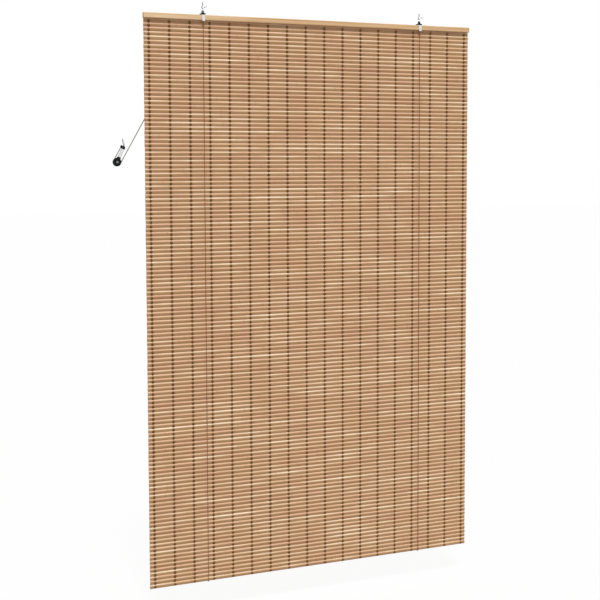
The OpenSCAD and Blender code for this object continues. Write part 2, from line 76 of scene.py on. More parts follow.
# Places along the cords
JOINER_WAY = 50 * MM  # from the left pulley to the bead's middle
JOINER_L = 18 * MM
JOINER_PAIR = 1.5 * MM  # from the bead's middle to each of its two cords
RETURN_WAY = 55 * MM  # from the tensioner's wheel back up to the clamp
END_GAP = 0.1 * MM  # between a cord's end and what holds it
WRAP_R = 4.9 * MM  # the turn under the mat
WRAP_RISE = 2.5 * MM  # from the mat's lower edge up to the middle of that turn
FRONT_LEAN = 3 * MM  # how far a cord leans aside on its way down the front

# A laid cord, with its measures as shares of its radius
ROPE_SIDES = 9
ROPE_STRANDS = 3
HOLLOW_SHARE = 0.2  # depth of the hollow between two strands
LAY_SHARE = 10  # length of one turn
STEP_SHARE = 1.1  # from one ring of points to the next
FULL_SHARE = 1.06  # a fuller radius, which makes up for the hollows


def middle(node):
    """The middle of a node's box."""
    lo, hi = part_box(node)
    return (lo + hi) / 2


def path_radius(node, groove_depth, groove_r):
    """Radius of the cord's middle on a grooved wheel."""
    lo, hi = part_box(node)
    return (hi.x - lo.x) / 2 - groove_depth + groove_r


# Helpers for meshes
def mesh_object(name, verts, faces, smooth_angle=40):
    """A mesh object, smooth except where faces meet at more than the angle."""
    mesh = bpy.data.meshes.new(name)
    mesh.from_pydata([tuple(v) for v in verts], [], faces)
    mesh.update()
    mesh.polygons.foreach_set("use_smooth", [True] * len(mesh.polygons))
    mesh.set_sharp_from_angle(angle=math.radians(smooth_angle))
    obj = bpy.data.objects.new(name, mesh)
    bpy.context.scene.collection.objects.link(obj)
    return obj


def carried_frames(path):
    """Two normals at each point of a path, carried along so that they don't twist."""
    last = len(path) - 1
    tangents = []
    for i in range(last + 1):
        step = path[min(i + 1, last)] - path[max(i - 1, 0)]
        tangents.append(step.normalized())
    across = tangents[0].orthogonal()
    frames = []
    for t in tangents:
        across = (across - t * across.dot(t)).normalized()
        frames.append((across, t.cross(across)))
    return frames


def tube(path, radii, sides=8, lobes=0, lobe_depth=0.0, lay=0.0):
    """Vertices and faces of a tube with a radius at each point of its path. With lobes it is a laid
    rope, whose strands turn once in each lay."""
    verts = []
    faces = []
    run = 0.0
    for i, (p, r, (u, v)) in enumerate(zip(path, radii, carried_frames(path))):
        if i:
            run += (p - path[i - 1]).length
        turn = run / lay if lobes else 0.0
        for k in range(sides):
            share = k / sides
            hollow = lobe_depth * (1 - math.cos(2 * math.pi * share * lobes)) / 2
            a = 2 * math.pi * (share + turn)
            verts.append(p + (u * math.cos(a) + v * math.sin(a)) * r * (1 - hollow))
    for i in range(len(path) - 1):
        for k in range(sides):
            a = i * sides + k
            b = i * sides + (k + 1) % sides
            faces.append((a, b, b + sides, a + sides))
    last = (len(path) - 1) * sides
    faces.append(tuple(range(sides - 1, -1, -1)))
    faces.append(tuple(last + k for k in range(sides)))
    return verts, faces


def rope(path, r):
    """A cord of strands laid together."""
    return tube(path, [r] * len(path), ROPE_SIDES, ROPE_STRANDS, HOLLOW_SHARE, LAY_SHARE * r)


def join(parts):
    """Several pairs of vertices and faces as one."""
    verts = []
    faces = []
    for part_verts, part_faces in parts:
        base = len(verts)
        verts += part_verts
        faces += [tuple(base + i for i in face) for face in part_faces]
    return verts, faces


def resample(points, step):
    """The same route with a point at about every step."""
    out = [points[0]]
    for a, b in zip(points, points[1:]):
        n = max(1, round((b - a).length / step))
        out += [a.lerp(b, (k + 1) / n) for k in range(n)]
    return out


def place(obj, material, replaces=(), body=ROOT):
    """Gives a piece its material and its body, and hides the nodes that it stands for."""
    obj.data.materials.append(material)
    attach(obj, body)
    if replaces:
        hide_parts(*replaces)


# Helpers for materials
def srgb(r, g, b):
    """A colour written as 0 to 255, as the linear colour that a shader takes."""
    def linear(c):
        """One channel."""
        c /= 255.0
        return c / 12.92 if c <= 0.04045 else ((c + 0.055) / 1.055) ** 2.4
    return (linear(r), linear(g), linear(b), 1.0)


class Shader:
    """A material's node tree, with its Principled shader and short ways to add nodes."""

    def __init__(self, name):
        self.material = bpy.data.materials.new(name)
        self.material.use_nodes = True
        self.tree = self.material.node_tree
        self.main = self.tree.nodes["Principled BSDF"]

    def put(self, socket, value):
        """Links a socket to another one, or sets it to a value."""
        if isinstance(value, bpy.types.NodeSocket):
            self.tree.links.new(value, socket)
        else:
            socket.default_value = value

    def add(self, kind, inputs=(), **settings):
        """A new node with its inputs and settings."""
        node = self.tree.nodes.new(kind)
        for key, value in settings.items():
            setattr(node, key, value)
        for key, value in dict(inputs).items():
            self.put(node.inputs[key], value)
        return node

    def set(self, **inputs):
        """Sets inputs of the Principled shader, with _ for a space in their names."""
        for key, value in inputs.items():
            self.put(self.main.inputs[key.replace("_", " ")], value)

    def math(self, operation, a, b=0.0, clamp=False):
        """The result of a sum on two values."""
        node = self.add("ShaderNodeMath", {0: a, 1: b}, operation=operation, use_clamp=clamp)
        return node.outputs[0]

    def over(self, value, start, slope):
        """How far a value is over a start, times a slope, between 0 and 1."""
        return self.math("MULTIPLY", self.math("SUBTRACT", value, start), slope, True)

    def span(self, factor, low, high):
        """A value that goes from low to high as the factor goes from 0 to 1."""
        return self.math("ADD", self.math("MULTIPLY", factor, high - low), low)

    def blend(self, a, b, share):
        """A value with a share of one and the rest of another."""
        return self.math("ADD", self.math("MULTIPLY", a, share), self.math("MULTIPLY", b, 1 - share))

    def mix(self, factor, a, b):
        """A colour between two others."""
        node = self.add("ShaderNodeMix", {0: factor, 6: a, 7: b}, data_type="RGBA")
        return node.outputs[2]

    def stain(self, base, mask, strength, colour):
        """A colour with another one over it, as strong as a mask times a strength."""
        return self.mix(self.math("MULTIPLY", mask, strength), base, colour)

    def ramp(self, factor, stops):
        """A colour from a row of stops, each a place from 0 to 1 and a colour."""
        node = self.add("ShaderNodeValToRGB", {0: factor})
        elements = node.color_ramp.elements
        while len(elements) < len(stops):
            elements.new(0.5)
        for element, (position, colour) in zip(elements, stops):
            element.position = position
            element.color = colour
        return node.outputs[0]

    def where(self):
        """The place on the object, in metres."""
        return self.add("ShaderNodeTexCoord").outputs["Object"]

    def noise(self, scale, detail=3.0, rough=0.5, vector=None):
        """Noise with so many bumps to a metre along X, Y and Z."""
        at = self.add("ShaderNodeMapping", {"Vector": vector or self.where(), "Scale": scale})
        inputs = {"Vector": at.outputs[0], "Scale": 1.0, "Detail": detail, "Roughness": rough}
        return self.add("ShaderNodeTexNoise", inputs).outputs[0]

    def attribute(self, name):
        """A value that the mesh keeps at each point."""
        return self.add("ShaderNodeAttribute", attribute_name=name).outputs["Fac"]

    def end_grain(self):
        """1 on faces that look along X, where wood is cut across, and 0 on long faces."""
        normal = self.add("ShaderNodeNewGeometry").outputs["Normal"]
        along = self.add("ShaderNodeSeparateXYZ", {0: normal}).outputs[0]
        return self.over(self.math("ABSOLUTE", along), start=0.7, slope=5.0)

    def bump(self, height, strength, distance):
        """Fine relief in the shading."""
        node = self.add("ShaderNodeBump", {"Height": height})
        node.inputs["Strength"].default_value = strength
        node.inputs["Distance"].default_value = distance
        self.put(self.main.inputs["Normal"], node.outputs[0])


# Materials
DULL_SHARE = 0.88  # dull spots on metal, as a share of its colour
WORN_SHARE = 1.7  # worn spots on black, as a share of its colour


def bamboo_material():
    """Split bamboo, with painted light: a slat is painted pale along its upper part as a painted
    highlight, and brown below as painted shade, with painted shade along both edges beside the grooves.
    Each has its own tint, fine fibres and a darker ring at the cane's nodes."""
    s = Shader("bamboo")
    along = s.add("ShaderNodeSeparateXYZ", {0: s.where()}).outputs[0]
    spot = s.add("ShaderNodeCombineXYZ", {
        0: s.math("MULTIPLY", along, 3.6),
        1: s.math("MULTIPLY", s.attribute("row"), 7.31),
    })
    tint = s.noise((1, 1, 1), detail=2.0, rough=0.6, vector=spot.outputs[0])
    brown = s.ramp(tint, [
        (0.30, srgb(180, 134, 92)),
        (0.70, srgb(193, 153, 106)),
    ])
    # The pale colours of the painted highlight along each slat's upper part, tinted at random from slat
    # to slat.
    pale = s.ramp(tint, [
        (0.30, srgb(222, 179, 146)),
        (0.50, srgb(230, 192, 156)),
        (0.70, srgb(255, 233, 200)),
    ])
    rise = s.attribute("rise")
    # Painted shade: the brown is mixed darker the higher it lies on the slat, most just under the pale
    # band, which evens out the shaded lower part.
    brown = s.mix(s.over(rise, start=-0.75, slope=0.42), brown, srgb(150, 104, 66))
    # Painted light: from a rise of 0.16 upwards the slat is mixed to pale as a painted highlight, fully
    # pale from about 0.5, and below that it keeps the brown as painted shade.
    base = s.mix(s.over(rise, start=0.16, slope=3.0), brown, pale)
    fibres = s.noise((9, 700, 700), detail=4.0, rough=0.65)
    streaks = s.noise((4, 160, 160), detail=3.0, rough=0.6)
    base = s.mix(s.over(fibres, start=0.44, slope=1.1), base, srgb(170, 120, 76))
    base = s.mix(s.over(streaks, start=0.55, slope=1.0), base, srgb(240, 210, 172))
    # Painted shade in the grooves between slats, partly the cane's own darker edge: both edges of every
    # slat are stained darker.
    edge = s.math("POWER", s.math("ABSOLUTE", rise), 5.0)
    base = s.stain(base, s.attribute("inner"), 0.45, srgb(226, 196, 150))
    base = s.stain(base, edge, 0.25, srgb(134, 92, 54))
    base = s.stain(base, s.attribute("knot"), 0.22, srgb(140, 96, 58))
    base = s.stain(base, s.end_grain(), 0.5, srgb(150, 108, 68))
    s.set(Base_Color=base, Roughness=s.span(fibres, 0.34, 0.54))
    s.set(Specular_IOR_Level=0.45)
    s.bump(fibres, strength=0.25, distance=0.0004)
    return s.material


def batten_material():
    """Planed pale wood with long grain, pores and darker cut ends."""
    s = Shader("batten_wood")
    grain = s.noise((2.2, 90, 90), detail=5.0, rough=0.6)
    figure = s.noise((0.9, 30, 30), detail=3.0, rough=0.55)
    pores = s.noise((14, 900, 900), detail=2.0, rough=0.5)
    tone = s.blend(grain, figure, 0.5)
    base = s.ramp(tone, [
        (0.36, srgb(196, 152, 104)),
        (0.50, srgb(223, 184, 138)),
        (0.64, srgb(238, 208, 168)),
    ])
    base = s.mix(s.over(pores, start=0.56, slope=1.8), base, srgb(178, 130, 84))
    rings = s.noise((10, 260, 520), detail=3.0, rough=0.7)
    base = s.stain(base, s.end_grain(), s.over(rings, start=0.25, slope=1.4), srgb(158, 112, 70))
    s.set(Base_Color=base, Roughness=s.span(grain, 0.36, 0.56))
    s.set(Specular_IOR_Level=0.45)
    s.bump(pores, strength=0.2, distance=0.0003)
    return s.material


def bead_material():
    """Turned wood under a thin coat."""
    s = Shader("bead_wood")
    grain = s.noise((300, 300, 60), detail=4.0, rough=0.6)
    s.set(Base_Color=s.ramp(grain, [(0.3, srgb(166, 116, 68)), (0.7, srgb(208, 160, 106))]))
    s.set(Roughness=0.35, Coat_Weight=0.3)
    return s.material


def fibre_material(name, dark, light, scale):
    """Twisted cotton, mottled between a dark and a light colour."""
    s = Shader(name)
    fuzz = s.noise((scale, scale, scale), detail=3.0, rough=0.7)
    slow = s.noise((22, 22, 22), detail=2.0, rough=0.5)
    tone = s.blend(fuzz, slow, 0.7)
    s.set(Base_Color=s.ramp(tone, [(0.3, dark), (0.7, light)]))
    s.set(Roughness=0.85, Specular_IOR_Level=0.15)
    s.bump(fuzz, strength=0.5, distance=0.0003)
    return s.material


def metal_material(name, colour, smooth, rough, scale):
    """Bare or plated metal, a little uneven in gloss."""
    s = Shader(name)
    mottle = s.noise((scale, scale, scale), detail=4.0, rough=0.6)
    dull = tuple(DULL_SHARE * c for c in colour[:3]) + (1.0,)
    s.set(Base_Color=s.mix(mottle, dull, colour), Metallic=1.0)
    s.set(Roughness=s.span(mottle, smooth, rough))
    return s.material


def black_material(name, colour, smooth, rough):
    """Black lacquer or plastic, a little worn."""
    s = Shader(name)
    mottle = s.noise((420, 420, 420), detail=4.0, rough=0.6)
    wear = s.noise((60, 60, 60), detail=3.0, rough=0.5)
    worn = tuple(WORN_SHARE * c for c in colour[:3]) + (1.0,)
    s.set(Base_Color=s.mix(wear, colour, worn), Specular_IOR_Level=0.15)
    s.set(Roughness=s.span(mottle, smooth, rough))
    s.bump(mottle, strength=0.08, distance=0.0002)
    return s.material


MATERIALS = {
    "bamboo": bamboo_material(),
    "batten_wood": batten_material(),
    "bead_wood": bead_material(),
    "weaving_thread": fibre_material("weaving_thread", srgb(96, 65, 34), srgb(152, 109, 62), scale=900),
    "lift_cord": fibre_material("lift_cord", srgb(118, 74, 48), srgb(166, 116, 82), scale=700),
    "pull_cord": fibre_material("pull_cord", srgb(122, 121, 113), srgb(168, 166, 157), scale=700),
    "chrome": metal_material("chrome", srgb(231, 232, 232), smooth=0.08, rough=0.2, scale=160),
    "steel": metal_material("steel", srgb(180, 183, 186), smooth=0.22, rough=0.36, scale=300),
    "dull_steel": metal_material("dull_steel", srgb(134, 138, 138), smooth=0.34, rough=0.5, scale=300),
    "black_metal": black_material("black_metal", srgb(14, 14, 15), smooth=0.4, rough=0.55),
    "black_plastic": black_material("black_plastic", srgb(18, 18, 19), smooth=0.42, rough=0.58),
}

# Solids with a finish of their own: the rest take their slot's
OWN_FINISH = {
    "screw_hook_left": "dull_steel",
    "screw_hook_right": "dull_steel",
    "tensioner_axle": "dull_steel",
}

for subpart in frame["record"]["subparts"]:
    node = subpart["node"]
    finish = OWN_FINISH.get(node, subpart["material_slot"])
    NODES[node].data.materials.clear()
    NODES[node].data.materials.append(MATERIALS[finish])


# A slat's section: places on its rounded front and on its back, as shares of half its height
FRONT_SHARES = (1.0, 0.72, 0.38, 0.0, -0.38, -0.72, -1.0)
BACK_SHARES = (-1.0, -0.9, 0.9, 1.0)

# The cane's nodes, with the way of each station from a node's middle and the share of its swell
NODE_SWELL = (
    (-7 * MM, 0.0),
    (-2.5 * MM, 0.6),
    (-0.8 * MM, 1.0),
    (0.8 * MM, 0.7),
    (2.6 * MM, 0.15),
    (6 * MM, 0.0),
)
NODE_RISE = 0.22 * MM  # the whole swell
NODE_START = (0.05, 0.5)  # from a slat's left end to its first node
NODE_PITCH = (0.38, 0.62)
END_CLEAR = 0.03  # how near its right end a node or a station comes

# Stations between the nodes
STATION_START = 0.06
STATION_PITCH = 0.07
STATION_PLAY = 0.008
NODE_CLEAR = 0.02  # how near a node they come

# How far the slats differ
SLAT_SEED = 11
ROW_PLAY = 0.06 * MM
HEIGHT_SHARES = (1.000, 1.008)
DEPTH_PLAY = 0.35 * MM
CROWN_SHARES = (0.9, 1.0)
BACK_PLAY = 0.4 * MM
END_PLAY = 1.1 * MM
WAVES = (5.0, 11.0)  # radians to a metre
WAVE_RISE = 0.08 * MM
WAVE_BOW = 0.12 * MM
BOW_SHARE = 0.7  # the bow's wave as a share of the rise's


def row_middle(k):
    """The height of the middle of a row of slats, counted from the top."""
    return mat_hi.z - (k + 0.5) * SLAT_H


def slat_stations(rng, start, end):
    """Places along a slat, each with how much the cane swells there."""
    nodes = []
    x = start + rng.uniform(*NODE_START)
    while x < end - END_CLEAR:
        nodes.append(x)
        x += rng.uniform(*NODE_PITCH)
    stations = [(start, 0.0), (end, 0.0)]
    x = start + STATION_START
    while x < end - END_CLEAR:
        if all(abs(x - n) > NODE_CLEAR for n in nodes):
            stations.append((x + rng.uniform(-STATION_PLAY, STATION_PLAY), 0.0))
        x += STATION_PITCH
    for n in nodes:
        stations += [(n + way, swell) for way, swell in NODE_SWELL]
    return sorted(stations)


def slat_mat():
    """The slats one by one, each a little different in height, crown, place and ends. For the material,
    each point keeps its row, its rise on the slat, the swell of a node and whether it is on the back."""
    rng = random.Random(SLAT_SEED)
    verts = []
    faces = []
    values = {"row": [], "rise": [], "knot": [], "inner": []}
    ring = len(FRONT_SHARES) + len(BACK_SHARES)
    for k in range(ROWS):
        middle_z = row_middle(k) + rng.uniform(-ROW_PLAY, ROW_PLAY)
        half = SLAT_H / 2 * rng.uniform(*HEIGHT_SHARES)
        depth = rng.uniform(0.0, DEPTH_PLAY)
        crown = CROWN * rng.uniform(*CROWN_SHARES)
        back = SLAT_T - rng.uniform(0.0, BACK_PLAY)
        start = mat_lo.x + rng.uniform(0.0, END_PLAY)
        end = mat_hi.x - rng.uniform(0.0, END_PLAY)
        phase = rng.uniform(0, 2 * math.pi)
        wave = rng.uniform(*WAVES)
        base = len(verts)
        stations = slat_stations(rng, start, end)
        for x, swell in stations:
            z = middle_z + WAVE_RISE * math.sin(wave * x + phase)
            bow = depth + WAVE_BOW * (1 + math.sin(BOW_SHARE * wave * x + 2 * phase))
            for t in FRONT_SHARES:
                y = bow + crown * t * t - NODE_RISE * swell * (1 - t * t)
                verts.append((x, max(y, 0.0) if k == 0 else y, z + t * half))
            verts += [(x, back - NOTCH, z - half), (x, back, z - half + NOTCH),
                      (x, back, z + half - NOTCH), (x, back - NOTCH, z + half)]
            values["row"] += [float(k)] * ring
            values["rise"] += [*FRONT_SHARES, *BACK_SHARES]
            values["knot"] += [swell] * ring
            values["inner"] += [0.0] * len(FRONT_SHARES) + [1.0] * len(BACK_SHARES)
        for i in range(len(stations) - 1):
            for q in range(ring):
                a = base + i * ring + q
                b = base + i * ring + (q + 1) % ring
                faces.append((a, a + ring, b + ring, b))
        last = base + (len(stations) - 1) * ring
        faces.append(tuple(base + q for q in range(ring)))
        faces.append(tuple(last + q for q in range(ring - 1, -1, -1)))
    obj = mesh_object("bamboo_slats", verts, faces, smooth_angle=50)
    for name, column in values.items():
        obj.data.attributes.new(name, "FLOAT", "POINT").data.foreach_set("value", column)
    place(obj, MATERIALS["bamboo"], ["slat_mat"])


# Turns of thread over a slat, and the points of a turn: share of its half, depth and radius
THREAD_SEED = 5
BIND_SHARES = (0.05, -0.23, -0.51, -0.79)  # places on a slat as shares of half its height
BIND_HALF = 5.6 * MM
BIND_TURN = (
    (-1.0, 0.35 * MM, 0.5 * MM),
    (-0.54, -0.4 * MM, 1.1 * MM),
    (0.54, -0.4 * MM, 1.1 * MM),
    (1.0, 0.35 * MM, 0.5 * MM),
)
BIND_SLANT = 0.5 * MM
SLANT_SHARES = (0.7, 1.2)
WIDE_SHARES = (0.9, 1.08)

# The two strands of a thread, with their places on a slat as shares of half its height
STRAND_R = 0.75 * MM
STRAND_FRONT = 0.25 * MM  # from a slat's front out to the strand's middle
STRAND_BACK = 0.55 * MM  # from its back
STRAND_PASS = 0.5 * MM  # how far aside a strand passes the other one in a groove
STRAND_DROP = 0.2 * MM  # from the rail's foot down to the start
STRAND_TOP = -0.1 * MM  # the front strand's depth there
STRAND_CROWN_SHARE = 0.9  # how much of a slat's crown it follows
BEFORE_SHARES = (0.6, 0.0, -0.5)
BEHIND_SHARES = (0.5, -0.5)


def bound_turns(rng, x, z):
    """The turns that bind one slat, slanted one way and the other."""
    parts = []
    for i, t in enumerate(BIND_SHARES):
        slant = BIND_SLANT * (-1) ** i * rng.uniform(*SLANT_SHARES)
        wide = rng.uniform(*WIDE_SHARES)
        path = []
        for side, depth, _ in BIND_TURN:
            y = CROWN * t * t + depth
            path.append(Vector((x + side * wide * BIND_HALF, y, z + t * SLAT_H / 2 + slant * side)))
        parts.append(tube(path, [r for _, _, r in BIND_TURN], sides=5))
    return parts


def woven_threads():
    """Two strands in each line: one passes before a slat while the other passes behind it, and they
    change sides in every groove, where they also bind the slat."""
    rng = random.Random(THREAD_SEED)
    for i in range(THREADS):
        x = (i - (THREADS - 1) / 2) * THREAD_PITCH
        parts = []
        for strand in (0, 1):
            path = [Vector((x, STRAND_TOP if strand else SLAT_T, rail_foot - STRAND_DROP))]
            radii = [STRAND_R / 2]
            for k in range(1, ROWS):
                z = row_middle(k)
                before = (k + strand) % 2 == 0
                for t in BEFORE_SHARES if before else BEHIND_SHARES:
                    front = STRAND_CROWN_SHARE * CROWN * t * t - STRAND_FRONT
                    y = front if before else SLAT_T + STRAND_BACK
                    path.append(Vector((x, y, z + t * SLAT_H / 2)))
                    radii.append(STRAND_R)
                if before:
                    parts += bound_turns(rng, x, z)
                side = STRAND_PASS if before else -STRAND_PASS
                path.append(Vector((x + side, SLAT_T / 2, z - SLAT_H / 2)))
                radii.append(STRAND_R)
            parts.append(tube(path, radii, sides=4))
        verts, faces = join(parts)
        obj = mesh_object("woven_thread_%02d" % i, verts, faces, smooth_angle=80)
        place(obj, MATERIALS["weaving_thread"], ["warp_threads"])


# Cords, on the routes of the solids
LEFT_WHEEL = middle("pulley_left")
RIGHT_WHEEL = middle("pulley_right")
TENS_WHEEL = middle("tensioner_wheel")
PATH_R = path_radius("pulley_left", GROOVE_DEPTH, GROOVE_R)
TENS_PATH_R = path_radius("tensioner_wheel", TENS_GROOVE_DEPTH, TENS_GROOVE_R)
WHEEL_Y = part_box("pulley_left")[0].y
NEAR_Y = WHEEL_Y + FLANGE_T + GROOVE_R
FAR_Y = WHEEL_Y + 2 * FLANGE_T + 3 * GROOVE_R
PULL = TENS_WHEEL - LEFT_WHEEL
PULL_A = math.atan2(-PULL.x, -PULL.z) - math.asin((PATH_R + TENS_PATH_R) / math.hypot(PULL.x, PULL.z))
PULL_DEG = math.degrees(PULL_A)
DOWN = Vector((-math.sin(PULL_A), 0, -math.cos(PULL_A)))
OUT = Vector((-math.cos(PULL_A), 0, math.sin(PULL_A)))
JOINER = LEFT_WHEEL + OUT * PATH_R + DOWN * JOINER_WAY
JOINER_HALF = JOINER_L / 2 + END_GAP
RETURN_L = RETURN_WAY - END_GAP
KNOT_LO, KNOT_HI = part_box("cord_knot_left")
LOOP_Y = (KNOT_LO.y + KNOT_HI.y) / 2
LOOP_R = (KNOT_HI.y - KNOT_LO.y) / 2 - CORD_R
COIL_R = (KNOT_HI.x - KNOT_LO.x) / 2 - CORD_R
WRAP_Z = mat_lo.z + WRAP_RISE
ARC_STEP = 10  # degrees
WRAP_STEP = 12


def arc(centre, y, r, start, end):
    """A round stretch about Y, between two angles in degrees."""
    n = math.ceil(abs(end - start) / ARC_STEP)
    angles = [math.radians(start + (end - start) * i / n) for i in range(n + 1)]
    return [Vector((centre.x + r * math.cos(a), y, centre.z + r * math.sin(a))) for a in angles]


def under_mat(x):
    """The half turn under the mat's lower edge, from its front to its back."""
    angles = [math.radians(a) for a in range(0, 180 + 1, WRAP_STEP)]
    return [Vector((x, SLAT_T / 2 - WRAP_R * math.cos(a), WRAP_Z - WRAP_R * math.sin(a))) for a in angles]


def front_and_back(x):
    """The route of a lift cord from its knot, down the mat's front and round its lower edge."""
    return [Vector((x, LOOP_Y, KNOT_LO.z))] + under_mat(x + FRONT_LEAN)


def laid_cord(name, route, r, slot, node):
    """A laid cord along a route, in place of a plain solid."""
    path = resample(route, STEP_SHARE * r)
    obj = mesh_object(name, *rope(path, FULL_SHARE * r), smooth_angle=75)
    place(obj, MATERIALS[slot], [node])


def cords():
    """The lift cords, each from its knot to the bead, and the pull cord from the bead to the clamp."""
    top = JOINER - DOWN * JOINER_HALF
    left_route = (front_and_back(LEFT_WHEEL.x) + arc(LEFT_WHEEL, FAR_Y, PATH_R, 0, 180 - PULL_DEG)
                  + [top + Y * JOINER_PAIR])
    right_route = (front_and_back(RIGHT_WHEEL.x) + arc(RIGHT_WHEEL, NEAR_Y, PATH_R, 0, 90)
                   + arc(LEFT_WHEEL, NEAR_Y, PATH_R, 90, 180 - PULL_DEG) + [top - Y * JOINER_PAIR])
    pull_route = ([JOINER + DOWN * JOINER_HALF]
                  + arc(TENS_WHEEL, TENS_WHEEL.y, TENS_PATH_R, -PULL_DEG, -180 - PULL_DEG)
                  + [TENS_WHEEL + OUT * TENS_PATH_R - DOWN * RETURN_L])
    laid_cord("lift_rope_left", left_route, CORD_R, "lift_cord", "lift_cord_left")
    laid_cord("lift_rope_right", right_route, CORD_R, "lift_cord", "lift_cord_right")
    laid_cord("pull_rope", pull_route, PULL_R, "pull_cord", "pull_cord")


# A knot's loop through the flange, and the coil below it
KNOT_TURNS = 3
TURN_STEPS = 20
LOOP_STEPS = 24
LOOP_STEP = 0.6 * MM
LOOP_SWAY = 0.35 * MM
COIL_GAP = 0.6 * MM
CORE_SHARE = 1.4  # the core's radius as a share of the cord's


def cord_knot(name, x, node):
    """The cord's loop through the flange, and its tail wound round itself below."""
    flange_z = KNOT_HI.z - LOOP_R - CORD_R
    loop = []
    for i in range(LOOP_STEPS + 1):
        a = 2 * math.pi * i / LOOP_STEPS
        loop.append(Vector((x + LOOP_SWAY * math.sin(a), LOOP_Y - LOOP_R * math.cos(a),
                            flange_z - LOOP_R * math.sin(a))))
    coil = []
    steps = KNOT_TURNS * TURN_STEPS
    top = flange_z - LOOP_R - CORD_R - COIL_GAP
    bottom = KNOT_LO.z + CORD_R
    for i in range(steps + 1):
        a = 2 * math.pi * i / TURN_STEPS
        coil.append(Vector((x + COIL_R * math.cos(a), LOOP_Y + COIL_R * math.sin(a),
                            top + (bottom - top) * i / steps)))
    core = [Vector((x, LOOP_Y, flange_z - LOOP_R)), Vector((x, LOOP_Y, KNOT_LO.z))]
    parts = [rope(resample(loop, LOOP_STEP), CORD_R), rope(coil, CORD_R),
             tube(core, [CORE_SHARE * CORD_R] * 2, sides=12)]
    obj = mesh_object(name, *join(parts), smooth_angle=75)
    place(obj, MATERIALS["lift_cord"], [node])


# Screws with a cross recess
HEAD_SIDES = 24
ARM_SHARE = 0.29  # half the cross's length, as a share of the head
WEB_SHARE = 0.07  # half the width of its arms
FLOOR_SHARE = 0.6  # the recess's floor, as a share of its mouth
DEPTH_SHARE = 0.8  # its depth, as a share of the head's cone
TIP_SHARE = 0.05  # the blunt tip, as a share of the shank
CLAMP_SCREWS = 7
CLAMP_SCREW_D = 3.5 * MM
LUG_SCREW_D = 3 * MM


def cross_screw(head, axis, d, length, head_d):
    """A countersunk screw with a cross recess. It lies along the axis from the middle of its head."""
    axis = axis.normalized()
    u = axis.orthogonal().normalized()
    v = axis.cross(u)
    arm = ARM_SHARE * head_d
    web = WEB_SHARE * head_d
    cross = [(arm, -web), (arm, web), (web, web), (web, arm), (-web, arm), (-web, web),
             (-arm, web), (-arm, -web), (-web, -web), (-web, -arm), (web, -arm), (web, -web)]
    cone_h = (head_d - d) / 2

    def at(p, down):
        """A point beside the axis, some way down it."""
        return head + u * p[0] + v * p[1] + axis * down

    def circle(r):
        """Points round the axis."""
        angles = [2 * math.pi * k / HEAD_SIDES for k in range(HEAD_SIDES)]
        return [(r * math.cos(a), r * math.sin(a)) for a in angles]

    rings = [(head_d / 2, 0.0), (d / 2, cone_h), (d / 2, length - d), (TIP_SHARE * d, length)]
    verts = [at(p, down) for r, down in rings for p in circle(r)]
    faces = []
    for i in range(len(rings) - 1):
        for k in range(HEAD_SIDES):
            a = i * HEAD_SIDES + k
            b = i * HEAD_SIDES + (k + 1) % HEAD_SIDES
            faces.append((a, a + HEAD_SIDES, b + HEAD_SIDES, b))
    faces.append(tuple((len(rings) - 1) * HEAD_SIDES + k for k in range(HEAD_SIDES)))
    mouth = len(verts)
    verts += [at(p, 0.0) for p in cross]
    floor = len(verts)
    verts += [at((FLOOR_SHARE * p[0], FLOOR_SHARE * p[1]), DEPTH_SHARE * cone_h) for p in cross]
    n = len(cross)
    for k in range(n):
        j = (k + 1) % n
        faces.append((mouth + k, mouth + j, floor + j, floor + k))
    faces.append(tuple(floor + k for k in range(n)))
    outline = [Vector((*p, 0)) for p in circle(head_d / 2)]
    hole = [Vector((*p, 0)) for p in cross]
    index = list(range(HEAD_SIDES)) + list(range(mouth, mouth + n))
    faces += [tuple(index[i] for i in triangle) for triangle in tessellate_polygon([outline, hole])]
    return verts, faces


def screws():
    """The row of screws that clamps the rail, and the two screws of each lug's foot."""
    lo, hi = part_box("clamp_screws")
    head_d = hi.z - lo.z
    step = (hi.x - lo.x - head_d) / (CLAMP_SCREWS - 1)
    places = [lo.x + head_d / 2 + step * i for i in range(CLAMP_SCREWS)]
    heads = [Vector((x, hi.y, (lo.z + hi.z) / 2)) for x in places]
    parts = [cross_screw(head, -Y, CLAMP_SCREW_D, hi.y - lo.y, head_d) for head in heads]
    obj = mesh_object("rail_screws", *join(parts))
    place(obj, MATERIALS["steel"], ["clamp_screws"])
    for side in ("left", "right"):
        node = "lug_screws_" + side
        lo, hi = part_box(node)
        head_d = hi.x - lo.x
        heads = [Vector(((lo.x + hi.x) / 2, y, hi.z)) for y in (lo.y + head_d / 2, hi.y - head_d / 2)]
        parts = [cross_screw(head, -Z, LUG_SCREW_D, hi.z - lo.z, head_d) for head in heads]
        obj = mesh_object("foot_screws_" + side, *join(parts))
        place(obj, MATERIALS["steel"], [node])


# Threads on the shanks of the hooks and of the fixing screw
RIDGE_STEPS = 16
RIDGE_SHARE = 0.2  # the ridge's radius, as a share of the pitch
POINT_SHARE = 0.8  # how much of a point it covers
HOOK_SHANK_R = 1.6 * MM
HOOK_SHANK_L = 10 * MM
HOOK_START = 1 * MM
HOOK_PITCH = 1.5 * MM
FIX_POINT_L = 9 * MM
FIX_START = 2 * MM
FIX_PITCH = 2 * MM


